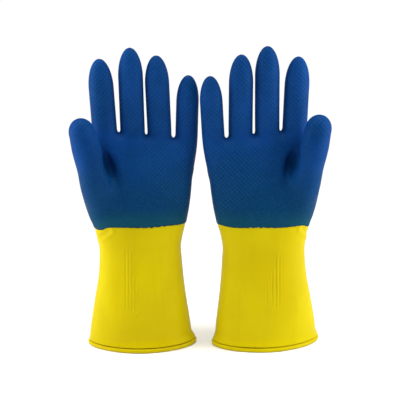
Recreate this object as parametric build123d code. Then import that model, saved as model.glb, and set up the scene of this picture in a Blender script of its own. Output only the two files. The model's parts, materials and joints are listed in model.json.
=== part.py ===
from build123d import *
import os
from math import atan2, cos, degrees, radians, sin, tan

# A pair of long rubber gloves standing on their rolled cuffs, palms facing -Y.
# The left-hand glove stands at -X with its thumb outward, the right-hand glove mirrors it.
# Each glove is drawn once as a left-hand glove: palm to -Y, thumb to -X, cuff centre on the Z axis.

# ---- whole pair ----
CUFF_SPACING = 134.8          # centre to centre of the two rims
YAW = {"left": 6.6, "right": 4.7}     # turn of each glove about its own upright axis
LEAN = {"left": -1.0, "right": 1.0}   # sideways lean of each hand, in its left-hand drawing
OFFSET = (0.92, 6.38)         # moves the pair so that the origin is under its middle

# ---- layers, counted inwards from the outer skin ----
DIP_OUTER = 0.0               # blue neoprene over-dip
DIP_INNER = 0.45
LATEX_OUTER = 0.6             # yellow natural latex
LATEX_INNER = 1.1
FLOCK_OUTER = 1.25            # cotton flock
FLOCK_INNER = 1.6

# ---- heights ----
BEAD_RADIUS = 2.5
BEAD_FLAT = 0.1               # how much of the bead is pressed flat where it stands
BEAD_CLEARANCE = 0.06
WRIST_HEIGHT = 112.0
DIP_EDGE_HEIGHT = 135.0       # lower edge of the blue dip
LATEX_SPLIT_HEIGHT = 150.0    # the latex bends freely above this height
SPLIT_GAP = 0.4
FLOCK_START = 6.0
TOP = 330.0                   # above every fingertip

# ---- joints ----
HINGE_GAP = 0.3               # half of the slot left at every hinge
NOTCH_MARGIN = 1.0            # extra opening of each notch, in degrees
WRIST_SWING = 25.0
FINGER_AXIS_DEPTH = 5.5       # of a finger's hinge below its palm side
MIDDLE_RATIO = 1.15           # middle hinge against the root hinge
TIP_RATIO = 0.65
MIDDLE_HINGE_SHARE = 0.38     # of the length from the root hinge to the tip
TIP_HINGE_SHARE = 0.66
THUMB_FLEX = 30.0             # across the palm
THUMB_SPREAD = 10.0           # away from the palm
THUMB_TIP_RATIO = 1.4
THUMB_AXIS_TURN = 35.0        # of the thumb's hinge axis from Y towards X
THUMB_AXIS_SHIFT = 6.0        # of the hinge from the thumb's middle towards the palm

# Hand sections from the rim to the knuckles: height, middle x, half width, middle y, half depth, tilt
HAND_SECTIONS = [
    (0.0, -0.4, 56.4, 0.0, 35.0, 0.0),
    (25.0, 0.0, 53.0, 0.0, 32.8, 0.0),
    (52.0, 0.7, 48.8, 0.0, 30.0, 0.0),
    (78.0, 2.0, 44.8, 0.0, 27.0, 0.0),
    (100.0, 2.2, 43.4, 0.0, 25.0, 0.0),
    (118.0, 1.8, 44.8, 0.0, 24.4, 0.0),
    (136.0, 1.6, 48.6, -0.4, 23.8, 0.0),
    (156.0, 0.4, 53.8, -1.0, 22.8, 0.0),
    (176.0, 0.4, 57.0, -1.6, 21.2, 0.0),
    (196.0, 3.4, 56.6, -2.0, 19.0, -1.0),
    (214.0, 7.6, 55.4, -2.0, 16.2, -3.0),
    (229.8, 10.8, 54.4, -2.0, 13.6, -4.0),
]

# Fingers: middle x at the root and at the tip, radius, tip height, root hinge height, largest bend
FINGERS = {
    "index": (-30.4, -33.9, 12.6, 307.6, 240.5, 45.0),
    "middle": (-2.0, -2.5, 12.7, 318.4, 240.5, 60.0),
    "ring": (24.6, 24.2, 12.2, 310.2, 239.5, 60.0),
    "little": (53.0, 55.9, 11.4, 289.6, 233.5, 60.0),
}
FINGER_ROOT_DEPTH = 26.0      # how far a finger's form starts below its root hinge
FINGER_CURL = 5.0             # how far a fingertip stands forward of its root
FINGER_MIDDLE_Y = -2.0
NECK_SHARE = 0.96             # radius below a fingertip's taper against the radius at the root
SHOULDER_SHARE = 0.84         # radius above that taper
SHOULDER_HEIGHT = 0.6         # length of that taper against the radius at the root
BORE_OVERRUN = 1.0            # how far a finger's bore cuts below the palm's inner top

# The thumb is a straight round tube on a stub that grows out of the palm
THUMB_STUB_START = (-33.0, -10.0, 152.0)
THUMB_STUB_RADIUS = 12.0
THUMB_ROOT = (-46.0, -32.0, 205.0)
THUMB_TOP = (-53.8, -29.5, 251.4)
THUMB_RADIUS = 14.6
THUMB_TIP_HINGE_SHARE = 0.42  # of the length from the root hinge to the tip

CUT = 240.0                   # larger than any section of one glove


def lean_shift(side, height):
    """Sideways shift of a leaning glove at a height, before it is mirrored."""
    return height * tan(radians(LEAN[side]))


def cuff_centre(side):
    """Where a glove's own upright axis stands."""
    across = CUFF_SPACING / 2 if side == "right" else -CUFF_SPACING / 2
    return across + OFFSET[0], OFFSET[1]


def leaning(side, point):
    """A point of the upright drawing, moved with the lean."""
    x, y, z = point
    return Vector(x + lean_shift(side, z), y, z)


def section(side, index, inset):
    """Hand section with two straight sides and round ends, drawn in by inset."""
    z, x, half_width, y, half_depth, tilt = HAND_SECTIONS[index]
    end = half_depth - inset
    straight = half_width - half_depth
    turn = radians(tilt)
    if index == len(HAND_SECTIONS) - 1:
        z -= inset
    plane = Plane(
        origin=leaning(side, (x, y, z)),
        x_dir=(cos(turn), 0, sin(turn)),
        z_dir=(-sin(turn), 0, cos(turn)),
    )
    front = Line((-straight, -end), (straight, -end))
    right_end = ThreePointArc((straight, -end), (straight + end, 0), (straight, end))
    back = Line((straight, end), (-straight, end))
    left_end = ThreePointArc((-straight, end), (-straight - end, 0), (-straight, -end))
    return plane * Wire([front, right_end, back, left_end])


def hand_form(side, inset):
    """Cuff, wrist and palm as one solid with a flat top at the finger roots."""
    return Solid.make_loft([section(side, index, inset) for index in range(len(HAND_SECTIONS))])


def tube(start, tip, radius, outer, inner=None):
    """Round finger from start to a tapered and rounded tip; a shell if an inner inset is given."""
    taper_length = SHOULDER_HEIGHT * radius
    slope = atan2(radius * (NECK_SHARE - SHOULDER_SHARE), taper_length)
    crown_radius = radius * SHOULDER_SHARE / cos(slope)
    neck = (tip - start).length - taper_length - crown_radius * (1 - sin(slope))

    def half_profile(inset):
        shoulder = radius * SHOULDER_SHARE - inset
        side_line = Line((radius - inset, 0), (radius * NECK_SHARE - inset, neck))
        taper_line = Line(side_line @ 1, (shoulder, neck + taper_length))
        centre = (0, neck + taper_length - shoulder * tan(slope))
        crown = CenterArc(centre, shoulder / cos(slope), degrees(slope), 90 - degrees(slope))
        return [side_line, taper_line, crown]

    outline = half_profile(outer)
    if inner is None:
        outline += [Line(outline[-1] @ 1, (0, 0)), Line((0, 0), outline[0] @ 0)]
    else:
        inside = half_profile(inner)
        outline += [Line(outline[-1] @ 1, inside[-1] @ 1), Line(inside[0] @ 0, outline[0] @ 0)]
        outline += inside
    face = Plane.XZ * make_face(outline)
    return Plane(origin=start, z_dir=tip - start) * revolve(face, Axis.Z)


def finger_ends(side, name):
    """Start and tip of a finger's middle line."""
    root_x, tip_x, _, tip_z, hinge_z, _ = FINGERS[name]
    start = leaning(side, (root_x, FINGER_MIDDLE_Y, hinge_z - FINGER_ROOT_DEPTH))
    tip = leaning(side, (tip_x, FINGER_MIDDLE_Y - FINGER_CURL, tip_z))
    return start, tip


def finger_tube(side, name, outer, inner=None):
    """A finger's form or shell, from inside the palm to its tip."""
    start, tip = finger_ends(side, name)
    return tube(start, tip, FINGERS[name][2], outer, inner)


def thumb_tube(side, outer, inner=None):
    """The free part of the thumb, from its root hinge to its tip."""
    return tube(leaning(side, THUMB_ROOT), leaning(side, THUMB_TOP), THUMB_RADIUS, outer, inner)


def thumb_stub(side, inset):
    """The thumb's root, from inside the palm to its root hinge."""
    start = leaning(side, THUMB_STUB_START)
    root = leaning(side, THUMB_ROOT)
    low = Wire.make_circle(THUMB_STUB_RADIUS - inset, Plane(origin=start, z_dir=(0, 0, 1)))
    high = Wire.make_circle(THUMB_RADIUS - inset, Plane(origin=root, z_dir=leaning(side, THUMB_TOP) - root))
    return Solid.make_loft([low, high])


def slab(low, high):
    """Everything between two heights."""
    return Pos(0, 0, (low + high) / 2) * Box(CUT, CUT, high - low)


def above_palm(side, inset):
    """Everything above the flat top of the palm."""
    z, x, _, y, _, tilt = HAND_SECTIONS[-1]
    top = Pos(*leaning(side, (x, y, z - inset))) * Rot(0, -tilt, 0)
    return top * Pos(0, 0, CUT / 2) * Box(CUT, CUT, CUT)


def notch(depth_in, angle_in, depth_out, angle_out, width):
    """Slot across a tube at a hinge on the X axis: it widens towards -Y and, if asked, towards +Y."""
    rise_in = depth_in * tan(radians(angle_in / 2))
    rise_out = depth_out * tan(radians(angle_out / 2))
    outline = Polyline(
        (-depth_in, -HINGE_GAP - rise_in),
        (0, -HINGE_GAP),
        (depth_out, -HINGE_GAP - rise_out),
        (depth_out, HINGE_GAP + rise_out),
        (0, HINGE_GAP),
        (-depth_in, HINGE_GAP + rise_in),
        close=True,
    )
    return extrude(Plane.YZ * make_face(outline), width / 2, both=True)


def finger_hinges(side, name):
    """Middle points of a finger's root, middle and tip hinges."""
    start, tip = finger_ends(side, name)
    _, _, radius, tip_z, hinge_z, _ = FINGERS[name]
    points = []
    for share in (0.0, MIDDLE_HINGE_SHARE, TIP_HINGE_SHARE):
        z = hinge_z + share * (tip_z - hinge_z)
        middle = start + (tip - start) * ((z - start.Z) / (tip.Z - start.Z))
        points.append(middle + Vector(0, FINGER_AXIS_DEPTH - radius, 0))
    return points


def thumb_hinges(side):
    """Middle points of the thumb's two hinges, shifted towards the palm."""
    turn = radians(THUMB_AXIS_TURN)
    shift = Vector(cos(turn), -sin(turn), 0) * THUMB_AXIS_SHIFT
    root = leaning(side, THUMB_ROOT)
    tip = leaning(side, THUMB_TOP)
    return [root + shift, root + (tip - root) * THUMB_TIP_HINGE_SHARE + shift]


def finger_slots(side, name):
    """The three slots of one finger."""
    _, _, radius, _, _, bend = FINGERS[name]
    slots = []
    for point, ratio in zip(finger_hinges(side, name), (1.0, MIDDLE_RATIO, TIP_RATIO)):
        slot = notch(2 * radius, bend * ratio + NOTCH_MARGIN, 3 * radius, 0.0, 3 * radius)
        slots.append(Pos(*point) * slot)
    return slots


def thumb_slots(side):
    """The two slots of the thumb."""
    slots = []
    for point, ratio in zip(thumb_hinges(side), (1.0, THUMB_TIP_RATIO)):
        flex = THUMB_FLEX * ratio + NOTCH_MARGIN
        spread = THUMB_SPREAD * ratio + NOTCH_MARGIN
        slot = notch(2 * THUMB_RADIUS, flex, 2 * THUMB_RADIUS, spread, 3 * THUMB_RADIUS)
        slots.append(Pos(*point) * Rot(0, 0, 90 - THUMB_AXIS_TURN) * slot)
    return slots


def palm_shell(side, outer, inner, low, slot=None):
    """Palm open below; with a slot, its thumb ends in a stub there, and otherwise at its tip."""

    def form(inset):
        hand = hand_form(side, inset)
        if slot is None:
            return hand.fuse(thumb_stub(side, inset), thumb_tube(side, inset))
        return hand.fuse((thumb_stub(side, inset) & slab(0, THUMB_ROOT[2])) - slot)

    shell = form(outer) - form(inner)
    for name in FINGERS:
        shell = shell - (finger_tube(side, name, inner) & above_palm(side, inner + BORE_OVERRUN))
    return shell & slab(low, TOP)


def links(shell, slots, names):
    """Cuts a finger's shell at its slots and names what is left, from the tip down."""
    for slot in slots:
        shell = shell - slot
    solids = sorted(shell.solids(), key=lambda solid: -solid.center().Z)
    return dict(zip(names, solids))


def dip(side):
    """The blue over-dip: the palm with the stubs of its fingers, and every finger link."""
    named = {}
    slots = thumb_slots(side)
    palm = palm_shell(side, DIP_OUTER, DIP_INNER, DIP_EDGE_HEIGHT, slots[0])
    thumb = thumb_tube(side, DIP_OUTER, DIP_INNER)
    pieces = links(thumb, slots, ["tip", "base"])
    named.update({f"thumb_{name}": solid for name, solid in pieces.items()})
    for finger in FINGERS:
        shell = finger_tube(side, finger, DIP_OUTER, DIP_INNER) & above_palm(side, 0)
        pieces = links(shell, finger_slots(side, finger), ["tip", "middle", "base", "stub"])
        palm = palm.fuse(pieces.pop("stub"))
        named.update({f"{finger}_{name}": solid for name, solid in pieces.items()})
    named["palm"] = palm
    return named


def inner_hand(side, outer, inner, low):
    """One whole inner layer with all its fingers."""
    hand = palm_shell(side, outer, inner, low)
    for finger in FINGERS:
        hand = hand.fuse(finger_tube(side, finger, outer, inner) & above_palm(side, outer))
    return hand


def bead(side):
    """Rolled rim, pressed flat where it stands."""
    path = Pos(0, 0, BEAD_RADIUS - BEAD_FLAT) * section(side, 0, LATEX_OUTER)
    profile = Plane(origin=path @ 0, z_dir=path % 0) * Circle(BEAD_RADIUS)
    return sweep(profile, path=path) & slab(0, 3 * BEAD_RADIUS)


def lower_latex(side):
    """Cuff and wrist of the yellow latex, parted by the slot at the wrist hinge."""
    swing = WRIST_SWING + NOTCH_MARGIN
    slot = Pos(lean_shift(side, WRIST_HEIGHT), 0, WRIST_HEIGHT) * notch(50, swing, 50, swing, CUT)
    shell = hand_form(side, LATEX_OUTER) - hand_form(side, LATEX_INNER)
    start = 2 * BEAD_RADIUS - BEAD_FLAT + BEAD_CLEARANCE
    cut = (shell & slab(start, LATEX_SPLIT_HEIGHT)) - slot
    return sorted(cut.solids(), key=lambda solid: solid.center().Z)


def save(side, name, shape):
    """Stands a left-hand drawing in its place in the pair and writes it as one node."""
    if side == "right":
        shape = mirror(shape, about=Plane.YZ)
    placed = Pos(*cuff_centre(side), 0) * Rot(0, 0, YAW[side]) * shape
    export_step(placed, f"parts/{side}_{name}.step")


def build_glove(side):
    """All nodes of one glove."""
    save(side, "cuff_bead", bead(side))
    cuff, wrist = lower_latex(side)
    save(side, "latex_cuff", cuff)
    save(side, "latex_wrist", wrist)
    save(side, "latex_hand", inner_hand(side, LATEX_OUTER, LATEX_INNER, LATEX_SPLIT_HEIGHT + SPLIT_GAP))
    save(side, "flock_lining", inner_hand(side, FLOCK_OUTER, FLOCK_INNER, FLOCK_START))
    for name, solid in dip(side).items():
        save(side, f"neoprene_{name}", solid)


if __name__ == "__main__":
    os.makedirs("parts", exist_ok=True)
    for glove_side in ("left", "right"):
        build_glove(glove_side)
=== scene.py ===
import functools
import json
import math

import bpy
import numpy as np
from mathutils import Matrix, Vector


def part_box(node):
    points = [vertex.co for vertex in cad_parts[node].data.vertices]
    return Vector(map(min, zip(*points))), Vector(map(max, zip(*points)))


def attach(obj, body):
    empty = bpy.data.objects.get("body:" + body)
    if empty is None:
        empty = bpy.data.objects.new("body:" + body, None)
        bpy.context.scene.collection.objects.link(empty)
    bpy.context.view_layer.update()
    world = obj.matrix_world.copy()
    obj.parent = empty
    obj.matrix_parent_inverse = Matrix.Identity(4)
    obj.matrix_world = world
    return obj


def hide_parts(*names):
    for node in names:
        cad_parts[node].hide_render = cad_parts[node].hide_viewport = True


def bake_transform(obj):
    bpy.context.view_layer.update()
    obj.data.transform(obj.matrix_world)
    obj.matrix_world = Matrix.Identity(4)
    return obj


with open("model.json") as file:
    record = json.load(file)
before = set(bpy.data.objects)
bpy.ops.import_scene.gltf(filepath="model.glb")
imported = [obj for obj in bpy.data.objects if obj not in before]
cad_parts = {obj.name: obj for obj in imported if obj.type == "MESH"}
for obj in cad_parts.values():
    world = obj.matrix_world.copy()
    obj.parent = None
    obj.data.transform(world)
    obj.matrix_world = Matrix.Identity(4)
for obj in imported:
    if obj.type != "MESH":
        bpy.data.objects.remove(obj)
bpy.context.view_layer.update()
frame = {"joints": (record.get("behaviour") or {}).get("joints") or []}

import openvdb
from mathutils import Vector

# A pair of two-colour rubber gloves. Each glove is shaped in its own drawing space, in millimetres:
# a left-hand glove with its palm to -Y, its thumb to -X and the middle of its rim on the Z axis.
# The right-hand glove is the mirror image. drawn() and placed() go between that space and the frame.

SIDES = ("left", "right")
FINGERS = ("index", "middle", "ring", "little")
JOINTS = {joint["name"]: joint for joint in frame["joints"]}
MM = 1000.0

# ---- hand sections: height, middle x, half width, middle y, half depth, squareness ----
SECTIONS = np.array([
    (0.0, 0.0, 57.6, 0.0, 33.5, 1.8),
    (6.0, 0.0, 56.4, 0.0, 33.0, 1.85),
    (25.0, 0.2, 53.9, 0.0, 32.2, 1.95),
    (52.0, 0.9, 49.7, 0.0, 30.4, 2.05),
    (78.0, 2.2, 45.7, 0.0, 28.2, 2.15),
    (96.0, 2.4, 44.2, 0.0, 26.4, 2.2),
    (108.0, 2.2, 43.9, -0.1, 26.0, 2.25),
    (118.0, 2.1, 45.7, -0.2, 25.9, 2.3),
    (134.0, 2.6, 49.2, -0.6, 25.4, 2.35),
    (156.0, 1.7, 54.3, -1.2, 24.2, 2.4),
    (176.0, 1.65, 56.65, -1.6, 21.6, 2.45),
    (196.0, 4.05, 55.35, -2.0, 18.0, 2.5),
    (212.0, 6.4, 54.2, -2.0, 14.4, 2.5),
    (226.0, 8.25, 52.85, -2.0, 11.0, 2.5),
    (240.0, 9.4, 51.8, -2.0, 9.0, 2.5),
])
TWIST = {"left": -4.0, "right": -6.0}         # degrees the rim is turned about the glove's middle
RIM_SHIFT = {"left": -0.5, "right": 3.0}      # how far the rim sits towards the back of the hand
TWIST_TOP = 100.0                     # the height at which twist and shift have faded away
CUFF_GAIN = {"left": 0.0, "right": 0.6}       # how much wider the cuff is than its sections, each side
CUFF_GAIN_TOP = (104.0, 124.0)        # the gain fades away between these heights
CUFF_HALF_WIDTH = 48.0                # about the cuff's half width, where the gain is meant
LIP_FLARE = 1.6                       # how far the lip above the rim turns outwards
RIM_FLARE = {"left": 1.3, "right": 0.0}       # more at the little finger's side, less at the thumb's
RIM_HALF_WIDTH = 56.0
POCKET = {"left": (-28.0, -20.0, 201.5), "right": (-24.4, -20.0, 202.0)}  # hollow beside the thumb
POCKET_SIZE = (6.2, 15.0, 15.0)       # half width, half depth and half height
POCKET_SLANT = 0.26                   # sideways against upwards
POCKET_BLEND = 6.5
LEAN = {"left": -1.0, "right": 1.0}   # degrees, in the drawing space
PALM_TOP = {"left": 227.3, "right": 228.2}    # height of the crotches at x = 0
PALM_TOP_SLOPE = -0.11                # how that height changes along x
PALM_TOP_ROUNDING = 9.0
KNUCKLE_BLEND = 5.5                   # how softly the fingers grow out of the palm
CROTCH_BLEND = 2.2                    # how softly the fingers join each other
THUMB_BLEND = 8.0                     # how softly the thumb grows out of the palm

# ---- fingers: half width, how far the root moves sideways from its hinge, and how far the tip
# ---- wanders sideways and up from the middle of its CAD link ----
FINGER_HALF_WIDTH = {"index": 12.9, "middle": 12.8, "ring": 12.6, "little": 11.8}
FINGER_SHIFT = {"index": 0.3, "middle": 0.0, "ring": 1.0, "little": 0.2}
TIP_WANDER = {
    "left": {"index": (-0.9, -0.8), "middle": (-0.6, -0.8), "ring": (-0.9, -0.6), "little": (0.8, -0.3)},
    "right": {"index": (0.0, 1.0), "middle": (1.0, 0.8), "ring": (0.8, 0.8), "little": (2.0, 0.0)},
}
FINGER_MIDDLE = -2.0                  # y of the root
FINGER_DEPTH = 0.9                    # half depth against half width
FINGER_TAPER = 0.985                  # half width below the fingertip against the root
FINGER_DOME = 2.35                    # height of the rounded tip against the half width
FINGER_BOW = 2.0                      # how far a fingertip bows forward
FINGER_ROOT_DEPTH = 40.0              # how far a finger reaches down into the palm below its hinge
FINGER_ROOT_PINCH = 0.34              # how much thinner it is there, where the palm covers it
FINGER_ROOT_LENGTH = 36.0

# ---- thumb: x, y, z and radius of its round sections, from the ball of the palm to below the tip ----
THUMB = {
    "left": np.array([
        (-32.6, -7.0, 150.0, 16.0), (-40.4, -16.0, 176.0, 16.7), (-44.6, -25.5, 200.0, 15.7),
        (-50.1, -32.0, 222.0, 14.5), (-53.2, -32.6, 236.0, 13.1),
    ]),
    "right": np.array([
        (-31.0, -7.0, 150.0, 15.8), (-37.5, -16.0, 176.0, 16.3), (-40.7, -25.5, 200.0, 15.3),
        (-45.4, -32.0, 224.0, 14.6), (-48.5, -32.6, 238.0, 13.3),
    ]),
}
THUMB_DOME = 15.5                     # height of the tip above the last section
THUMB_BEND = 2                        # the thumb bends along the line from this section to the last
THUMB_FREE = (186.0, 206.0)           # the thumb parts from the palm between these heights
THUMB_FREE_BLEND = 1.5                # how softly it joins the palm above them
THUMB_FRONT = -12.0                   # the palm is behind this, the free thumb in front
THUMB_REACH = 2.0                     # the free thumb is within its radius and this of its middle line

# ---- bends: the height at which each finger's first bend starts, clear of the palm ----
BEND_START = {"index": 231.5, "middle": 231.5, "ring": 231.0, "little": 225.0, "thumb": 212.5}
LEAST_BEND = 13.5                     # height over which a bend turns at least
LAST_BEND_TOP = 9.0                   # the last bend ends this far above its hinge
TIP_KEPT = 8.0                        # no bend comes nearer the fingertip than this

# ---- skins ----
VOXEL = 1.25                          # spacing of the grid in which the hand is meshed
HAND_LOW = (-78.0, -56.0, 126.0)      # corners of that grid
HAND_HIGH = (76.0, 30.0, 324.0)
CUT_MARGIN = 0.4 * VOXEL              # quads nearer the dip's edge than this are cut away
SEAM = 1.6                            # how far inside each end of a bend's range fix_to_bodies takes its two points along the bend line
DIP_THICKNESS = 0.55
LIP_TUCK = 0.25                       # the dip's lip reaches this much deeper, into the yellow layer
WALL = 1.5                            # outer skin to flock lining
DIP_EDGE = 135.2                      # height of the dip's edge
SAG_DEPTH, SAG_START, SAG_SOFTNESS = 3.9, -37.5, 1.6      # how it sags from an x on, at the thumb side
RISE, RISE_MIDDLE, RISE_WIDTH = 1.8, -51.0, 4.0           # and rises again round the side
DRIPS_MIDDLE, DRIPS_WIDTH, DRIPS_ELSEWHERE = 14.0, 15.0, 0.12
CUFF_TOP = 143.0                      # the yellow layer ends here, under the dip
CUFF_START = 3.6                      # the cuff's wall begins here, inside the rolled rim


# ---------------------------------------------------------------- camera, floor and light

RIM_BOXES = [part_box(f"{side}_cuff_bead") for side in SIDES]
PAIR_MIDDLE = sum((low + high for low, high in RIM_BOXES), Vector()) / 4
CAMERA_ASIDE = -0.0039
CAMERA_HEIGHT = 0.1585                # of the point it looks at
CAMERA_TARGET = Vector((PAIR_MIDDLE.x + CAMERA_ASIDE, PAIR_MIDDLE.y, CAMERA_HEIGHT))
CAMERA_DISTANCE = 1.0
CAMERA_ELEVATION = 13.5               # degrees
CAMERA_LENS = 85.6
CAMERA_SENSOR = 36.0
FLOOR_SIZE = 30.0
FLOOR_COLOUR = (0.96, 0.96, 0.96, 1.0)
SOFTBOX_SIZE = (0.2, 0.5)
SOFTBOX_PLACE = (0.39, -0.07, 0.28)   # of the right one, the left one mirrors it
SOFTBOX_TARGET = (0.06, 0.0, 0.20)
SOFTBOX_POWER = 1.3
TOP_ELEVATION = 88.0                  # degrees
TOP_STRENGTH = 3.0
TOP_SOFTNESS = 60.0                   # degrees
WORLD_COLOUR = (1.0, 1.0, 1.0, 1.0)
WORLD_STRENGTH = 0.1


def aim(thing, target):
    thing.rotation_euler = (target - thing.location).to_track_quat("-Z", "Y").to_euler()


def add_camera():
    camera = bpy.data.objects.new("camera", bpy.data.cameras.new("camera"))
    bpy.context.scene.collection.objects.link(camera)
    lift = math.radians(CAMERA_ELEVATION)
    camera.location = CAMERA_TARGET + Vector((0, -math.cos(lift), math.sin(lift))) * CAMERA_DISTANCE
    camera.data.lens = CAMERA_LENS
    camera.data.sensor_width = CAMERA_SENSOR
    aim(camera, CAMERA_TARGET)
    bpy.context.scene.camera = camera


def sun(name, azimuth, elevation, strength, softness):
    """Soft light from far away; azimuth 0 shines along +Y, and 90 from the +X side."""
    light = bpy.data.objects.new(name, bpy.data.lights.new(name, "SUN"))
    bpy.context.scene.collection.objects.link(light)
    light.data.energy = strength
    light.data.angle = math.radians(softness)
    turn, lift = math.radians(azimuth), math.radians(elevation)
    level = math.cos(lift)
    light.location = Vector((math.sin(turn) * level, -math.cos(turn) * level, math.sin(lift)))
    aim(light, Vector((0, 0, 0)))


def softbox(name, place, target, power):
    """An upright soft light close to one glove."""
    light = bpy.data.objects.new(name, bpy.data.lights.new(name, "AREA"))
    bpy.context.scene.collection.objects.link(light)
    light.data.energy = power
    light.data.shape = "RECTANGLE"
    light.data.size, light.data.size_y = SOFTBOX_SIZE
    light.location = place
    aim(light, target)


def add_stage():
    half = FLOOR_SIZE / 2
    mesh = bpy.data.meshes.new("floor")
    corners = [(-half, -half, 0), (half, -half, 0), (half, half, 0), (-half, half, 0)]
    mesh.from_pydata(corners, [], [(0, 1, 2, 3)])
    floor = bpy.data.objects.new("floor", mesh)
    bpy.context.scene.collection.objects.link(floor)
    material = bpy.data.materials.new("floor")
    material.use_nodes = True
    shader = material.node_tree.nodes["Principled BSDF"]
    shader.inputs["Base Color"].default_value = FLOOR_COLOUR
    shader.inputs["Roughness"].default_value = 0.5
    shader.inputs["Specular IOR Level"].default_value = 0.0
    mesh.materials.append(material)


def add_light():
    bpy.context.scene.view_settings.view_transform = "Standard"
    mirror = Vector((-1, 1, 1))
    place, target = Vector(SOFTBOX_PLACE), Vector(SOFTBOX_TARGET)
    softbox("left_light", place * mirror, target * mirror, SOFTBOX_POWER)
    softbox("right_light", place, target, SOFTBOX_POWER)
    sun("top_light", 0.0, TOP_ELEVATION, TOP_STRENGTH, TOP_SOFTNESS)
    world = bpy.data.worlds.new("studio")
    world.use_nodes = True
    background = world.node_tree.nodes["Background"]
    background.inputs["Color"].default_value = WORLD_COLOUR
    background.inputs["Strength"].default_value = WORLD_STRENGTH
    bpy.context.scene.world = world


add_camera()
add_stage()
add_light()


# ---------------------------------------------------------------- frame

@functools.cache
def rim_middle(side):
    low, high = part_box(f"{side}_cuff_bead")
    return np.array((low + high) / 2)[:2]


@functools.cache
def yaw(side):
    axis = JOINTS[f"{side}_wrist"]["axis"]
    return math.atan2(axis[1], axis[0])


def drawn(side, points):
    """Frame to drawing space."""
    points = np.atleast_2d(np.array(points, float))
    c, s = math.cos(yaw(side)), math.sin(yaw(side))
    x, y = (points[:, :2] - rim_middle(side)).T
    x, y = c * x + s * y, c * y - s * x
    if side == "right":
        x = -x
    return np.column_stack((x, y, points[:, 2])) * MM


def placed(side, points):
    """Drawing space to frame."""
    x, y, z = (np.atleast_2d(points) / MM).T
    if side == "right":
        x = -x
    c, s = math.cos(yaw(side)), math.sin(yaw(side))
    middle = rim_middle(side)
    return np.column_stack((c * x - s * y + middle[0], s * x + c * y + middle[1], z))


@functools.cache
def hinge(side, name):
    return drawn(side, JOINTS[f"{side}_{name}_joint"]["pos_m"])[0]


@functools.cache
def fingertip(side, name):
    low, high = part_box(f"{side}_neoprene_{name}_tip")
    return drawn(side, ((low[0] + high[0]) / 2, (low[1] + high[1]) / 2, high[2]))[0]


@functools.cache
def thumb_chain(side):
    """The thumb's sections, leaning with the glove."""
    chain = THUMB[side].copy()
    chain[:, 0] += lean_shift(side, chain[:, 2])
    return chain


# ---------------------------------------------------------------- distance fields

def lean_shift(side, z):
    return z * math.tan(math.radians(LEAN[side]))


def smooth_curve(stations, values, at):
    """Values at each place on a smooth curve through the stations."""
    slopes = np.gradient(values, stations, axis=0)
    at = np.clip(at, stations[0], stations[-1])
    i = np.clip(np.searchsorted(stations, at) - 1, 0, len(stations) - 2)
    step = (stations[i + 1] - stations[i])[:, None]
    t = (at - stations[i])[:, None] / step
    a, b = 2 * t**3 - 3 * t**2 + 1, t**3 - 2 * t**2 + t
    c, d = -2 * t**3 + 3 * t**2, t**3 - t**2
    return (a * values[i] + b * slopes[i] * step + c * values[i + 1] + d * slopes[i + 1] * step).T


def section_at(z):
    return smooth_curve(SECTIONS[:, 0], SECTIONS[:, 1:], z)


def smooth_min(a, b, k):
    h = np.maximum(k - np.abs(a - b), 0) / k
    return np.minimum(a, b) - h * h * k / 4


def hand_field(side, p):
    """Cuff, wrist and palm: a rounded box section that changes with height, closed at the crotches."""
    x, y, z = p.T
    middle_x, half_width, middle_y, half_depth, square = section_at(z)
    u = np.abs(x - lean_shift(side, z) - middle_x) / half_width + 1e-6
    v = np.abs(y - middle_y) / half_depth + 1e-6
    ring = (u**square + v**square) ** (1 / square)
    steep_x = (u / ring) ** (square - 1) / half_width
    steep_y = (v / ring) ** (square - 1) / half_depth
    side_wall = (ring - 1) / np.hypot(steep_x, steep_y)
    top = z - PALM_TOP[side] - PALM_TOP_SLOPE * (x - lean_shift(side, z))
    return -smooth_min(-side_wall, -top, PALM_TOP_ROUNDING)


def finger_field(p, root, tip, half_width, half_depth, taper, dome, bow):
    """Tapered finger with an oval section and a long rounded tip."""
    length = np.linalg.norm(tip - root)
    axis = (tip - root) / length
    across = np.cross(axis, (0.0, -1.0, 0.0))
    across /= np.linalg.norm(across)
    front = np.cross(across, axis)
    q = p - root
    h = q @ axis
    share = np.clip(h / length, 0, 1)
    neck = length - dome * half_width
    narrowing = 1 - (1 - taper) * np.clip(h / neck, 0, 1)
    narrowing -= FINGER_ROOT_PINCH * np.clip(1 - h / FINGER_ROOT_LENGTH, 0, 1) ** 2
    u = (q @ across) / (half_width * narrowing)
    v = (q @ front + bow * share * (1 - share) * 4) / (half_depth * narrowing)
    s = np.maximum(h - neck, 0) / (length - neck) + np.minimum(h, 0) / half_width
    return (np.sqrt(u * u + v * v + s * s) - 1) * half_depth * narrowing


def thumb_field(p, chain, dome):
    """Round bar along a curve through the chain's middles, changing radius smoothly, domed at its tip."""
    start, end = chain[0, :3], chain[-1, :3]
    length = np.linalg.norm(end - start)
    axis = (end - start) / length
    along = (chain[:, :3] - start) @ axis
    offset = chain[:, :3] - start - along[:, None] * axis
    h = (p - start) @ axis
    bent = smooth_curve(along, np.column_stack((offset, chain[:, 3])), h)
    middle, radius = bent[:3].T, bent[3]
    q = p - start - h[:, None] * axis - middle
    past = np.maximum(h - length, 0) / dome + np.minimum(h, 0) / radius
    return (np.sqrt((q * q).sum(1) / radius**2 + past**2) - 1) * radius


def pocket_field(side, p):
    """The hollow between the thumb and the palm, slanting with the thumb."""
    x, y, z = (p - POCKET[side]).T
    x = x - lean_shift(side, p[:, 2]) + POCKET_SLANT * z
    width, depth, height = POCKET_SIZE
    return (np.sqrt((x / width) ** 2 + (y / depth) ** 2 + (z / height) ** 2) - 1) * width


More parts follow.
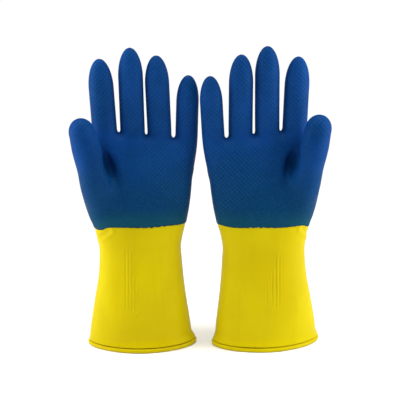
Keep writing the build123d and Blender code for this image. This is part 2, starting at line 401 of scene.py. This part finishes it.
@functools.cache
def finger_line(side, name):
    """Root and tip of a finger's middle line."""
    sideways, up = TIP_WANDER[side][name]
    tip = fingertip(side, name) + (sideways, 0, up)
    base = hinge(side, f"{name}_base")
    start = np.array((base[0] + FINGER_SHIFT[name], FINGER_MIDDLE, base[2]))
    direction = (tip - start) / np.linalg.norm(tip - start)
    return start - direction * FINGER_ROOT_DEPTH, tip


def glove_field(side, p):
    """Signed distance to the outer skin of one glove, negative inside."""
    fingers = None
    for name in FINGERS:
        root, tip = finger_line(side, name)
        half = FINGER_HALF_WIDTH[name]
        one = finger_field(p, root, tip, half, half * FINGER_DEPTH, FINGER_TAPER, FINGER_DOME, FINGER_BOW)
        fingers = one if fingers is None else smooth_min(fingers, one, CROTCH_BLEND)
    hand = smooth_min(hand_field(side, p), fingers, KNUCKLE_BLEND)
    thumb = thumb_field(p, thumb_chain(side), THUMB_DOME)
    softness = np.interp(p[:, 2], THUMB_FREE, (THUMB_BLEND, THUMB_FREE_BLEND))
    return -smooth_min(-smooth_min(hand, thumb, softness), pocket_field(side, p), POCKET_BLEND)


def field_normal(side, p, step=0.35):
    """Slope of the field by central differences."""
    slope = np.empty_like(p)
    for axis in range(3):
        shift = np.zeros(3)
        shift[axis] = step
        slope[:, axis] = (glove_field(side, p + shift) - glove_field(side, p - shift)) / (2 * step)
    return slope


def on_skin(side, p, rounds=3):
    """Moves points along the slope until they lie on the outer skin."""
    for _ in range(rounds):
        slope = field_normal(side, p)
        steep = np.sqrt((slope**2).sum(1)) + 1e-6
        move = np.clip(glove_field(side, p) / steep, -VOXEL, VOXEL)
        p = p - slope * (move / steep)[:, None]
    return p


# ---------------------------------------------------------------- meshes

def hand_mesh(side):
    """Quads of the hand's outer skin above the cuff, in drawing space."""
    low, high = np.array(HAND_LOW), np.array(HAND_HIGH)
    counts = np.ceil((high - low) / VOXEL).astype(int)
    axes = [low[i] + VOXEL * np.arange(counts[i]) for i in range(3)]
    values = np.empty(counts, np.float32)
    for layer, x in enumerate(axes[0]):
        y, z = np.meshgrid(axes[1], axes[2], indexing="ij")
        p = np.column_stack((np.full(y.size, x), y.ravel(), z.ravel()))
        values[layer] = glove_field(side, p).reshape(y.shape)
    grid = openvdb.FloatGrid(4 * VOXEL)
    grid.copyFromArray(np.clip(values, -4 * VOXEL, 4 * VOXEL))
    points, quads = grid.convertToQuads()
    points = on_skin(side, low + points.astype(float) * VOXEL)
    return points, quads.astype(int)


def relax(side, points, quads, fixed, rounds):
    """Evens out the quads while the points stay on the skin, and the fixed ones where they are."""
    held = points[fixed]
    edges = np.concatenate([quads[:, [i, (i + 1) % 4]] for i in range(4)])
    for _ in range(rounds):
        total = np.zeros_like(points)
        count = np.zeros(len(points))
        for a, b in ((0, 1), (1, 0)):
            np.add.at(total, edges[:, a], points[edges[:, b]])
            np.add.at(count, edges[:, a], 1)
        points = on_skin(side, (points + total / count[:, None]) / 2, rounds=1)
        points[fixed] = held
    return points


def dip_edge(side, x, y):
    """Height of the blue dip's edge: nearly level, sagging at the thumb side, with small drips in front."""
    sag = SAG_DEPTH / (1 + np.exp((x - SAG_START) / SAG_SOFTNESS))
    sag = sag - RISE * np.exp(-(((x - RISE_MIDDLE) / RISE_WIDTH) ** 2))
    drips = 0.4 * np.sin(x * 0.9 + 1.0) + 0.3 * np.sin(x * 2.3 + y * 0.7) + 0.25 * np.sin(x * 1.4 + 2.0)
    where = np.exp(-(((x - DRIPS_MIDDLE) / DRIPS_WIDTH) ** 2)) * (y < 0) + DRIPS_ELSEWHERE
    slow = 0.35 * np.sin(x * 0.13 + y * 0.09 + (0.0 if side == "left" else 2.0))
    return DIP_EDGE - sag + slow + drips * where


def keep_faces(points, faces, chosen):
    """Only the chosen faces and their points."""
    faces = faces[chosen]
    used, inverse = np.unique(faces, return_inverse=True)
    return points[used], inverse.reshape(faces.shape), used


def boundary(faces):
    """Edges that belong to one face only, in the order of their face."""
    edges = np.concatenate([faces[:, [i, (i + 1) % 4]] for i in range(4)])
    key = np.sort(edges, axis=1)
    _, index, count = np.unique(key, axis=0, return_index=True, return_counts=True)
    return edges[index[count == 1]]


def labels(side, points):
    """Which piece each point belongs to: the palm, or one bend of a finger or of the thumb."""
    names = ["palm"]
    index = np.zeros(len(points), int)
    gap = []
    for name in FINGERS:
        root, tip = finger_line(side, name)
        axis = (tip - root) / np.linalg.norm(tip - root)
        q = points - root
        gap.append(np.linalg.norm(q - (q @ axis)[:, None] * axis, axis=1))
    nearest = np.argmin(gap, axis=0)
    z = points[:, 2]
    on_thumb = thumb_side(side, points)
    for number, name in enumerate(FINGERS):
        for part, (low, _) in bends(side, name).items():
            names.append(f"{name}_{part}")
            index[(nearest == number) & (z > low) & ~on_thumb] = len(names) - 1
    root, tip = bend_line(side, "thumb")
    along = (points - root) @ (tip - root) / ((tip - root) @ (tip - root))
    level = root[2] + along * (tip[2] - root[2])
    for part, (low, _) in bends(side, "thumb").items():
        names.append(f"thumb_{part}")
        index[on_thumb & (level > low)] = len(names) - 1
    return names, index


def thumb_side(side, points):
    """True on the free thumb: near its middle line and in front of the palm."""
    bend, tip = bend_line(side, "thumb")
    reach = THUMB[side][THUMB_BEND, 3] + THUMB_REACH
    axis = (tip - bend) / np.linalg.norm(tip - bend)
    q = points - bend
    gap = np.linalg.norm(q - (q @ axis)[:, None] * axis, axis=1)
    return (gap < reach) & (points[:, 1] < THUMB_FRONT) & (q @ axis > 0.0)


def bends(side, name):
    """Each bending piece of a finger with the heights between which it turns, from the root up."""
    parts = ("base", "tip") if name == "thumb" else ("base", "middle", "tip")
    joints = [hinge(side, f"{name}_{part}")[2] for part in parts]
    top = fingertip(side, name)[2]
    ends = joints + [top]
    start = BEND_START[name]
    found = {}
    for number, part in enumerate(parts):
        last = number == len(parts) - 1
        finish = joints[number] + LAST_BEND_TOP if last else (ends[number] + ends[number + 1]) / 2
        finish = max(finish, start + LEAST_BEND)
        found[part] = (start, min(finish, top - TIP_KEPT))
        start = finish
    return found


def new_piece(name, side, points, faces, normals, materials, indices, values=None):
    """A mesh object from drawing-space points, with its own normals and point values."""
    if side == "right":
        faces = faces[:, ::-1]
    mesh = bpy.data.meshes.new(name)
    mesh.from_pydata(placed(side, points).tolist(), [], faces.tolist())
    for material in materials:
        mesh.materials.append(material)
    mesh.polygons.foreach_set("material_index", np.asarray(indices, np.int32))
    mesh.polygons.foreach_set("use_smooth", np.ones(len(faces), bool))
    for key, value in (values or {}).items():
        attribute = mesh.attributes.new(key, "FLOAT", "POINT")
        attribute.data.foreach_set("value", np.asarray(value, np.float32))
    mesh.update()
    if normals is not None:
        c, s = math.cos(yaw(side)), math.sin(yaw(side))
        x, y, z = (normals / np.linalg.norm(normals, axis=1)[:, None]).T
        x = -x if side == "right" else x
        turned = np.column_stack((c * x - s * y, s * x + c * y, z))
        mesh.normals_split_custom_set_from_vertices(turned.tolist())
    piece = bpy.data.objects.new(name, mesh)
    bpy.context.scene.collection.objects.link(piece)
    return piece


# ---------------------------------------------------------------- the blue hand

def cut_at_dip(side, points, quads):
    """The skin above the dip's edge, its border drawn onto the edge curve and its quads evened out."""
    middle = points[quads].mean(axis=1)
    above = middle[:, 2] > dip_edge(side, middle[:, 0], middle[:, 1]) + CUT_MARGIN
    points, quads, _ = keep_faces(points, quads, above)
    border = np.unique(boundary(quads))
    for _ in range(3):
        points[border, 2] = dip_edge(side, points[border, 0], points[border, 1])
        moved = on_skin(side, points[border], rounds=1)
        points[border, :2] = moved[:, :2]
    return relax(side, points, quads, border, rounds=3), quads


def hand_skin(side, blue, cotton):
    """The blue dip with the cotton inside it, as one piece for the palm and one for each bend."""
    points, quads = hand_mesh(side)
    points, quads = cut_at_dip(side, points, quads)
    rim = boundary(quads)
    normals = field_normal(side, points)
    inner = points - WALL * normals / np.linalg.norm(normals, axis=1)[:, None]
    names, label = labels(side, points[quads].mean(axis=1))
    grip = grip_share(points, normals)
    for number, name in enumerate(names):
        chosen = label == number
        outside, faces, used = keep_faces(points, quads, chosen)
        count = len(outside)
        parts = [outside, inner[used]]
        slopes = [normals[used], -normals[used]]
        grips = [grip[used], np.zeros(count)]
        all_faces = [faces, faces[:, ::-1] + count]
        index = [np.zeros(len(faces), int), np.ones(len(faces), int)]
        if name == "palm":
            ring, flat = np.unique(rim, return_inverse=True)
            flat = flat.reshape(rim.shape)
            lip = points[ring]
            down = np.tile((0.0, 0.0, -1.0), (len(ring), 1))
            outwards = normals[ring] / np.linalg.norm(normals[ring], axis=1)[:, None]
            hidden = lip - (DIP_THICKNESS + LIP_TUCK) * outwards
            parts += [lip, hidden]
            slopes += [normals[ring] + down, down]
            grips += [np.zeros(len(ring))] * 2
            a, b = flat[:, 0] + 2 * count, flat[:, 1] + 2 * count
            all_faces.append(np.column_stack((b, a, a + len(ring), b + len(ring))))
            index.append(np.zeros(len(rim), int))
        shape = np.concatenate(parts)
        values = {
            "across": shape[:, 0],
            "up": shape[:, 2],
            "grip": np.concatenate(grips),
            "above_edge": shape[:, 2] - dip_edge(side, shape[:, 0], shape[:, 1]),
        }
        piece = new_piece(f"{side}_{name}_skin", side, shape, np.concatenate(all_faces),
                          np.concatenate(slopes), (blue, cotton), np.concatenate(index), values)
        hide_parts(f"{side}_neoprene_{name}")
        fix_to_bodies(side, name, piece)


def fix_to_bodies(side, name, piece):
    """The palm rides on its body; each finger or thumb piece has its placement baked into its points and
    stays where it is.
    """
    if name == "palm":
        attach(piece, f"{side}_palm")
        return
    finger, part = name.split("_")
    found = bends(side, finger)
    low, high = found[part]
    root, tip = bend_line(side, finger)
    start, end = ((height - root[2]) / (tip[2] - root[2]) for height in (low + SEAM, high - SEAM))
    start, end = placed(side, [root + start * (tip - root), root + end * (tip - root)])
    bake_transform(piece)


def bend_line(side, finger):
    """Two points that give the direction along which a finger's bends turn."""
    if finger != "thumb":
        return finger_line(side, finger)
    chain = thumb_chain(side)
    return chain[THUMB_BEND, :3], chain[-1, :3]


GRIP_FACING = 0.35                    # the grip fades in from this share of facing the front
GRIP_FINGERS = 232.0                  # on the fingers it begins above this height
GRIP_PALM_TOP = 226.0                 # on the palm it ends below this
GRIP_PALM_CORNER = (40.0, 150.0)      # x and height of its lowest corner at the little finger's side
GRIP_PALM_SLOPE = 0.9                 # from there it begins this much higher for each mm to the thumb
GRIP_PALM_SIDE = -10.0                # and it ends at this x


def grip_share(points, normals):
    """How strongly the grip shows: on the fingers' fronts and on the palm's little-finger side."""
    facing = -normals[:, 1] / np.linalg.norm(normals, axis=1)
    facing = np.clip((facing - GRIP_FACING) / GRIP_FACING, 0, 1)
    x, z = points[:, 0], points[:, 2]
    fingers = np.clip((z - GRIP_FINGERS) / 8.0, 0, 1)
    corner_x, corner_z = GRIP_PALM_CORNER
    band = np.clip((z - corner_z - GRIP_PALM_SLOPE * (corner_x - x)) / 10.0, 0, 1)
    band = band * np.clip((GRIP_PALM_TOP - z) / 8.0, 0, 1)
    return facing * np.maximum(fingers, band * np.clip((x - GRIP_PALM_SIDE) / 20.0, 0, 1))


# ---------------------------------------------------------------- the yellow cuff

CUFF_DEPTH = 0.6                      # under the blue dip's outer skin
COTTON_DEPTH = WALL + 0.1
COLUMNS = 460                         # points round the yellow cuff
ROWS = 138                            # rings of points up it
LIP_HEIGHT = 5.7                      # the cuff turns in over the rim's groove below this
LIP_TURN = 3.6                        # how far it turns in
LIP_TOP = 9.0                         # the rings are closer together below this
LEAST_FLARE = 0.3
FLARE_HEIGHT = 4.5                    # the flare has mostly faded this far above the lip
SPACING_HEIGHT = 40.0                 # the points are evenly spaced round the section at this height
CREASE_FREE = (8.0, 14.0)             # the creases fade in between these heights
CREASE_FRONT = 1.6                    # how soon they reach full depth from the sides to the front
SLACK = 0.22                          # depth of the slow undulation
BULGE, BULGE_PLACE = 0.5, 1.9         # beside a crease, against its depth and its half width
RIM_COLUMNS = 360
RIM_HEIGHT = 2.5                      # of the middle of the roll
ROLL_MIDDLE = 0.8                     # the roll thickens about a line this far inside the section
INNER_SKIP = 2                        # the cotton inside has half as many columns and rows

# crease lines on the front: x and height at the bottom, x and height at the top, depth, half width
CREASES = {
    "left": np.array([
        (-17.4, 46.0, -16.2, 111.0, 0.30, 0.75),
        (-13.9, 48.0, -12.8, 112.0, 0.36, 0.7),
        (-10.4, 46.0, -9.4, 110.0, 0.36, 0.75),
        (-7.6, 44.0, -6.9, 96.0, 0.28, 0.7),
        (-4.4, 46.0, -3.9, 88.0, 0.24, 0.7),
        (25.0, 50.0, 25.4, 68.0, 0.26, 0.8),
        (28.2, 40.0, 28.0, 62.0, 0.22, 0.8),
        (-6.6, 39.0, -4.0, 43.0, 0.30, 0.7),
        (-5.0, 36.5, -3.4, 38.5, 0.26, 0.6),
        (-46.0, 119.5, -33.0, 131.0, 1.5, 2.2),
        (-47.0, 112.0, -38.0, 118.0, 0.35, 2.8),
    ]),
    "right": np.array([
        (-9.3, 52.0, -9.0, 104.0, 0.30, 0.75),
        (-5.6, 50.0, -5.2, 106.0, 0.36, 0.75),
        (-1.7, 50.0, -1.4, 90.0, 0.30, 0.7),
        (4.2, 46.0, 4.4, 80.0, 0.26, 0.7),
        (28.6, 50.0, 28.2, 68.0, 0.24, 0.8),
        (32.4, 52.0, 31.8, 66.0, 0.20, 0.8),
        (-6.0, 38.0, -4.2, 42.0, 0.30, 0.7),
        (-4.0, 35.5, -2.2, 37.0, 0.24, 0.6),
        (-45.5, 119.5, -34.0, 131.0, 1.5, 2.2),
        (-46.0, 112.0, -38.0, 117.0, 0.35, 2.8),
    ]),
}


def stadium(side, z, angles):
    """Points and outward 2-D normals of the hand's section at one height."""
    middle_x, half_width, middle_y, half_depth, square = section_at(np.array([z]))[:, 0]
    c, s = np.cos(angles), np.sin(angles)
    x = half_width * np.sign(c) * np.abs(c) ** (2 / square)
    y = half_depth * np.sign(s) * np.abs(s) ** (2 / square)
    nx = np.sign(c) * np.abs(c) ** (2 - 2 / square) / half_width
    ny = np.sign(s) * np.abs(s) ** (2 - 2 / square) / half_depth
    length = np.hypot(nx, ny)
    low, high = CUFF_GAIN_TOP
    x = x * (1 + CUFF_GAIN[side] / CUFF_HALF_WIDTH * np.clip((high - z) / (high - low), 0, 1))
    x, y, nx, ny = x + middle_x + lean_shift(side, z), y + middle_y, nx / length, ny / length
    fade = max(1 - z / TWIST_TOP, 0.0) ** 2
    turn = math.radians(TWIST[side]) * fade
    c, s = math.cos(turn), math.sin(turn)
    return c * x - s * y, s * x + c * y + RIM_SHIFT[side] * fade, c * nx - s * ny, s * nx + c * ny


def crease_depth(side, x, z, front):
    """Fine vertical creases, slack undulation and the fold under the dip, in millimetres inwards."""
    total = SLACK * np.sin(x * 0.11 + 0.6) * np.sin(z * 0.07 + x * 0.03)
    for x0, z0, x1, z1, depth, width in CREASES[side]:
        along = np.clip(((x - x0) * (x1 - x0) + (z - z0) * (z1 - z0)) / ((x1 - x0)**2 + (z1 - z0)**2), 0, 1)
        gap = np.hypot(x - x0 - along * (x1 - x0), z - z0 - along * (z1 - z0)) / width
        total = total + front * depth * np.exp(-gap * gap) * np.sin(math.pi * (0.12 + 0.76 * along))
        total = total - front * depth * BULGE * np.exp(-(gap - BULGE_PLACE) ** 2)
    return total


def grid_quads(rows, columns):
    """Quads of a tube of rings, counted ring by ring."""
    ring, column = np.meshgrid(np.arange(rows - 1), np.arange(columns), indexing="ij")
    a = ring * columns + column
    b = ring * columns + (column + 1) % columns
    return np.column_stack((a.ravel(), b.ravel(), (b + columns).ravel(), (a + columns).ravel()))


def even_angles(side, columns):
    """Angles that space points evenly round the cuff, starting at the little-finger side."""
    fine = np.linspace(0, 2 * math.pi, 4001)
    x, y, _, _ = stadium(side, SPACING_HEIGHT, fine)
    length = np.concatenate(([0], np.cumsum(np.hypot(np.diff(x), np.diff(y)))))
    return np.interp(np.arange(columns) / columns * length[-1], length, fine)


def flare(side, x, z):
    """How far the cuff turns outwards at a height, most of all just above the rim."""
    outwards = np.clip(LIP_FLARE + RIM_FLARE[side] * x / RIM_HALF_WIDTH, LEAST_FLARE, None)
    return outwards * math.exp(-(((z - LIP_HEIGHT) / FLARE_HEIGHT) ** 2))


def wall_heights(rows):
    """Heights of the cuff's rings, closer together at the lip."""
    dense = rows // 6
    lip = np.linspace(CUFF_START, LIP_TOP, dense, endpoint=False)
    return np.concatenate((lip, np.linspace(LIP_TOP, CUFF_TOP, rows - dense)))


def cuff_wall(side, depth, columns, rows):
    """Rings of points up the cuff, at a depth inside the hand's section."""
    angles = even_angles(side, columns)
    rings = []
    for z in wall_heights(rows):
        x, y, nx, ny = stadium(side, z, angles)
        inset = depth - flare(side, x, max(z, LIP_HEIGHT))
        front = np.clip(-ny * CREASE_FRONT, 0, 1)
        fade = np.clip((z - CREASE_FREE[0]) / (CREASE_FREE[1] - CREASE_FREE[0]), 0, 1)
        inset += fade * crease_depth(side, x, np.full(columns, z), front)
        if z < LIP_HEIGHT:
            inset += LIP_TURN * math.sqrt(1 - (1 - (LIP_HEIGHT - z) / (LIP_HEIGHT - CUFF_START)) ** 2)
        rings.append(np.column_stack((x - nx * inset, y - ny * inset, np.full(columns, z))))
    return np.concatenate(rings)


def cuff_skin(side, latex, cotton):
    """The yellow cuff, which reaches up under the blue dip, with the cotton inside it."""
    outer = cuff_wall(side, CUFF_DEPTH, COLUMNS, ROWS)
    inner = cuff_wall(side, COTTON_DEPTH, COLUMNS // INNER_SKIP, ROWS // INNER_SKIP)
    outer_faces = grid_quads(ROWS, COLUMNS)
    inner_faces = grid_quads(ROWS // INNER_SKIP, COLUMNS // INNER_SKIP)[:, ::-1] + len(outer)
    shape = np.concatenate((outer, inner))
    faces = np.concatenate((outer_faces, inner_faces))
    index = np.concatenate((np.zeros(len(outer_faces), int), np.ones(len(inner_faces), int)))
    piece = new_piece(f"{side}_cuff_skin", side, shape, faces, None, (latex, cotton), index)
    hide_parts(*(f"{side}_{node}" for node in
                         ("latex_cuff", "latex_wrist", "latex_hand", "flock_lining")))
    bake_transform(piece)


# the rolled rim's section, out and up: from the groove above it, outwards, down and back inside
RIM_PROFILE = np.array([
    (-1.7, 4.5), (-0.9, 4.72), (-0.1, 4.7), (0.65, 4.45), (1.3, 3.9), (1.68, 3.15), (1.74, 2.3),
    (1.55, 1.45), (1.1, 0.7), (0.45, 0.22), (-0.4, 0.08), (-1.3, 0.1), (-2.1, 0.4), (-2.75, 1.0),
    (-3.15, 1.8), (-3.25, 2.7), (-3.05, 3.5), (-2.5, 4.1),
])


def rim_roll(side, latex):
    """The rolled bead: a closed tube whose roll tightens, loosens and wanders a little on its way round."""
    angles = even_angles(side, RIM_COLUMNS)
    x, y, nx, ny = stadium(side, RIM_HEIGHT, angles)
    turn = np.arange(RIM_COLUMNS) / RIM_COLUMNS * 2 * math.pi
    phase = 0.0 if side == "left" else 1.7
    thick = 1 + 0.035 * np.sin(3 * turn + phase) + 0.02 * np.sin(11 * turn + 2 * phase)
    rings = []
    for out, up in RIM_PROFILE:
        reach = (out + ROLL_MIDDLE) * thick - ROLL_MIDDLE + flare(side, x, LIP_HEIGHT) - LIP_FLARE
        height = up * np.minimum(thick, 1.0)
        rings.append(np.column_stack((x + nx * reach, y + ny * reach, height)))
    shape = np.concatenate(rings)
    count = len(RIM_PROFILE)
    faces = grid_quads(count + 1, RIM_COLUMNS)[:, ::-1] % len(shape)
    piece = new_piece(f"{side}_rolled_rim", side, shape, faces, None, (latex,), np.zeros(len(faces), int))
    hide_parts(f"{side}_cuff_bead")
    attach(piece, f"{side}_cuff")


# ---------------------------------------------------------------- materials

GRIP_TURNS = math.pi / 2.3            # radians a millimetre across or up, so it repeats every 4.6 mm
DARK_BLUE = (0.002, 0.040, 0.168, 1.0)
BRIGHT_BLUE = (0.004, 0.052, 0.235, 1.0)
LOWER_BLUE = (0.001, 0.040, 0.105, 1.0)       # of the palm, towards the dip's edge
THIN_BLUE = (0.004, 0.062, 0.098, 1.0)        # where the yellow shows through just above the edge
EDGE_BLUE = (0.002, 0.018, 0.022, 1.0)
SPECK_BLUE = (0.012, 0.085, 0.26, 1.0)
GRIP_BLUE = (0.012, 0.095, 0.24, 1.0)
DEEP_YELLOW = (0.61, 0.475, 0.0, 1.0)
BRIGHT_YELLOW = (0.67, 0.545, 0.0, 1.0)
STREAK_YELLOW = (0.55, 0.41, 0.0, 1.0)
SPECK_YELLOW = (0.52, 0.38, 0.0, 1.0)
DEEP_COTTON = (0.80, 0.72, 0.42, 1.0)
PALE_COTTON = (0.90, 0.84, 0.60, 1.0)
FIBRE_COTTON = (0.95, 0.92, 0.78, 1.0)


class Nodes:
    """A material whose nodes are added one call each."""

    def __init__(self, name, **constants):
        self.made = bpy.data.materials.new(name)
        self.made.use_nodes = True
        self.tree = self.made.node_tree
        self.shader = self.tree.nodes["Principled BSDF"]
        for key, value in constants.items():
            self.shader.inputs[key.replace("_", " ")].default_value = value
        self.place = self.add("ShaderNodeTexCoord").outputs["Object"]

    def add(self, kind, **settings):
        node = self.tree.nodes.new(kind)
        for key, value in settings.items():
            setattr(node, key, value)
        return node

    def feed(self, socket, value):
        if isinstance(value, bpy.types.NodeSocket):
            self.tree.links.new(value, socket)
        else:
            socket.default_value = value

    def value(self, name):
        return self.add("ShaderNodeAttribute", attribute_name=name).outputs["Fac"]

    def noise(self, scale, detail=3.0, roughness=0.5, stretch=(1.0, 1.0, 1.0)):
        node = self.add("ShaderNodeTexNoise")
        mapped = self.add("ShaderNodeMapping")
        self.feed(mapped.inputs["Vector"], self.place)
        mapped.inputs["Scale"].default_value = stretch
        self.feed(node.inputs["Vector"], mapped.outputs["Vector"])
        node.inputs["Scale"].default_value = scale
        node.inputs["Detail"].default_value = detail
        node.inputs["Roughness"].default_value = roughness
        return node.outputs["Fac"]

    def math(self, operation, a, b=0.0):
        node = self.add("ShaderNodeMath", operation=operation)
        self.feed(node.inputs[0], a)
        self.feed(node.inputs[1], b)
        return node.outputs[0]

    def ramp(self, value, low, high, start=0.0, end=1.0):
        """Smooth change from start to end as value goes from low to high."""
        node = self.add("ShaderNodeMapRange", interpolation_type="SMOOTHSTEP")
        for socket, number in zip(node.inputs[:5], (value, low, high, start, end)):
            self.feed(socket, number)
        return node.outputs[0]

    def mix(self, share, a, b):
        node = self.add("ShaderNodeMix", data_type="RGBA")
        self.feed(node.inputs["Factor"], share)
        self.feed(node.inputs[6], a)
        self.feed(node.inputs[7], b)
        return node.outputs[2]

    def bump(self, height, distance, normal=None):
        """Raises the surface by height times distance, in metres."""
        node = self.add("ShaderNodeBump")
        self.feed(node.inputs["Height"], height)
        node.inputs["Distance"].default_value = distance
        node.inputs["Strength"].default_value = 1.0
        if normal is not None:
            self.feed(node.inputs["Normal"], normal)
        return node.outputs["Normal"]

    def finish(self, colour, roughness, normal):
        for name, value in (("Base Color", colour), ("Roughness", roughness), ("Normal", normal)):
            self.feed(self.shader.inputs[name], value)
        return self.made


def blue_rubber():
    """Satin neoprene: cloudy, greener and thinner towards its edge, with a slanting grip in places."""
    m = Nodes("blue_neoprene", Specular_IOR_Level=0.035)
    cloud = m.noise(22.0, 3.0)
    speck = m.noise(420.0, 2.0)
    colour = m.mix(m.ramp(cloud, 0.32, 0.68), DARK_BLUE, BRIGHT_BLUE)
    above = m.value("above_edge")
    colour = m.mix(m.ramp(above, 95.0, 12.0, 0.0, 0.9), colour, LOWER_BLUE)
    thin = m.math("MULTIPLY", m.ramp(above, 22.0, 3.0), m.ramp(cloud, 0.25, 0.62, 0.35, 1.0))
    colour = m.mix(thin, colour, THIN_BLUE)
    colour = m.mix(m.ramp(above, 1.5, 0.2, 0.0, 0.8), colour, EDGE_BLUE)
    colour = m.mix(m.ramp(speck, 0.42, 0.62, 0.0, 0.16), colour, SPECK_BLUE)
    across, up = m.value("across"), m.value("up")
    one = m.math("SINE", m.math("MULTIPLY", m.math("SUBTRACT", across, up), GRIP_TURNS))
    other = m.math("SINE", m.math("MULTIPLY", m.math("ADD", across, up), GRIP_TURNS))
    both = m.math("ADD", one, m.math("MULTIPLY", other, 0.5))
    grip = m.math("MULTIPLY", m.ramp(both, 0.0, 1.1), m.value("grip"))
    colour = m.mix(m.math("MULTIPLY", grip, 0.3), colour, GRIP_BLUE)
    normal = m.bump(m.noise(1400.0, 2.0), 0.00006)
    normal = m.bump(grip, 0.00014, normal)
    return m.finish(colour, m.ramp(m.noise(60.0, 3.0), 0.3, 0.7, 0.43, 0.56), normal)


def yellow_rubber():
    """Satin natural latex: slightly cloudy, faintly streaked downwards."""
    m = Nodes("yellow_latex", Specular_IOR_Level=0.06)
    cloud = m.noise(16.0, 3.0)
    streak = m.noise(90.0, 3.0, 0.6, (1.0, 1.0, 0.12))
    colour = m.mix(m.ramp(cloud, 0.3, 0.7), DEEP_YELLOW, BRIGHT_YELLOW)
    colour = m.mix(m.ramp(streak, 0.45, 0.75, 0.0, 0.22), colour, STREAK_YELLOW)
    colour = m.mix(m.ramp(m.noise(700.0, 2.0), 0.5, 0.7, 0.0, 0.10), colour, SPECK_YELLOW)
    normal = m.bump(streak, 0.00018)
    normal = m.bump(m.noise(1500.0, 2.0), 0.00005, normal)
    return m.finish(colour, m.ramp(cloud, 0.3, 0.7, 0.40, 0.50), normal)


def cotton_flock():
    """Short cotton fibres on the inside of the latex."""
    m = Nodes("cotton_flock", Specular_IOR_Level=0.15, Sheen_Weight=0.35, Sheen_Roughness=0.5)
    fibre = m.noise(2600.0, 4.0, 0.7)
    clump = m.noise(260.0, 3.0)
    colour = m.mix(m.ramp(clump, 0.3, 0.7), DEEP_COTTON, PALE_COTTON)
    colour = m.mix(m.ramp(fibre, 0.35, 0.65, 0.0, 0.4), colour, FIBRE_COTTON)
    normal = m.bump(fibre, 0.0003, m.bump(clump, 0.0003))
    return m.finish(colour, m.ramp(fibre, 0.3, 0.7, 0.88, 1.0), normal)


blue, yellow, cotton = blue_rubber(), yellow_rubber(), cotton_flock()
for side in SIDES:
    hand_skin(side, blue, cotton)
    cuff_skin(side, yellow, cotton)
    rim_roll(side, yellow)
